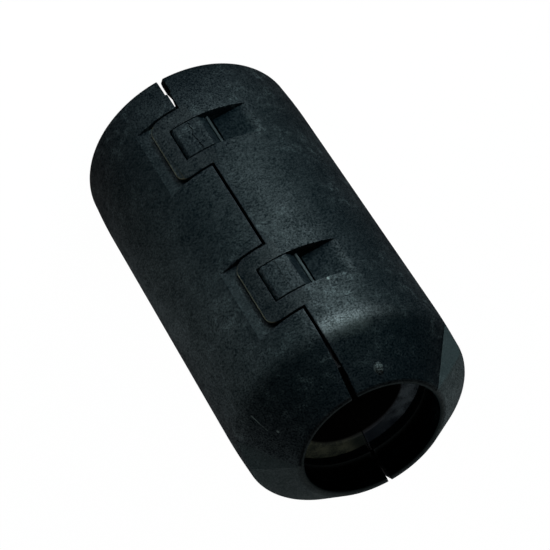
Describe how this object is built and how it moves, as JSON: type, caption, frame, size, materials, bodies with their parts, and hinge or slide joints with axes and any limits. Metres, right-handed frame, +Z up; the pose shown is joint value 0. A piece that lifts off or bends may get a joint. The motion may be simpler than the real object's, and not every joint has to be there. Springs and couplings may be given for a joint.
{
  "type": "clip on ferrite bead",
  "caption": "Round clip-on ferrite bead: a hinged nylon case with two latches, tapered ends and a split ferrite core for a cable.",
  "frame": {"origin": "on the bore's axis, in the plane of the lower rim, on which the bead stands", "axes": "+Z up along the bore; the parting plane is x = 0, the latches face -Y, the web lies at +Y, and the catch shell is on the +X side"},
  "size_m": [0.02, 0.0204, 0.0394],
  "materials": {
    "nylon_case": "satin black, fine spark texture",
    "ferrite": "dull dark grey, ground faces"
  },
  "bodies": {
    "latch_side": {"latch_shell": "nylon_case", "hinge_web": "nylon_case", "core_latch_half": "ferrite"},
    "catch_side": {"catch_shell": "nylon_case", "core_catch_half": "ferrite"},
    "tongue_1": {"latch_tongue_1": "nylon_case"},
    "tongue_2": {"latch_tongue_2": "nylon_case"}
  },
  "joints": [
    {"name": "case_opening", "type": "hinge", "parent": "latch_side", "child": "catch_side", "pos_m": [0, 0.0101, 0.0197], "axis": [0, 0, 1], "range_deg": [0, 180]},
    {"name": "tongue_1_flex", "type": "hinge", "parent": "latch_side", "child": "tongue_1", "pos_m": [-0.00012, -0.00958, 0.0105], "axis": [0, 0, -1], "range_deg": [0, 25], "stiffness_Nm_per_rad": 0.04},
    {"name": "tongue_2_flex", "type": "hinge", "parent": "latch_side", "child": "tongue_2", "pos_m": [-0.00012, -0.00958, 0.0282], "axis": [0, 0, -1], "range_deg": [0, 25], "stiffness_Nm_per_rad": 0.04}
  ]
}
